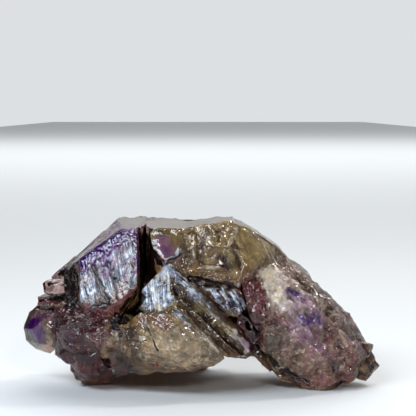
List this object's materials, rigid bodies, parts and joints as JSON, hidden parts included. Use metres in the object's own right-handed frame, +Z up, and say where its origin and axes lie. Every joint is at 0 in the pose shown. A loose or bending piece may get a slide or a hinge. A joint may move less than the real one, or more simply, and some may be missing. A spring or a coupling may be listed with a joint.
{
  "type": "amethyst scepter crystal",
  "caption": "Hand-sized smoky amethyst lying on its side: intergrown quartz crystals with a stout violet head, a flat frosted top and a granular mauve lobe.",
  "frame": {"origin": "middle of the stone in plan, at the level of its flat broken feet", "axes": "+X along the stone from the violet head to the granular lobe, +Y away from its best side, +Z up"},
  "size_m": [0.0838, 0.044, 0.0395],
  "materials": {
    "smoky_amethyst": "see-through smoky brown quartz with violet zones, glassy on the crystal faces and frosted on the grown-over and broken ones"
  },
  "bodies": {
    "root": {"amethyst_cluster": "smoky_amethyst"}
  },
  "joints": []
}
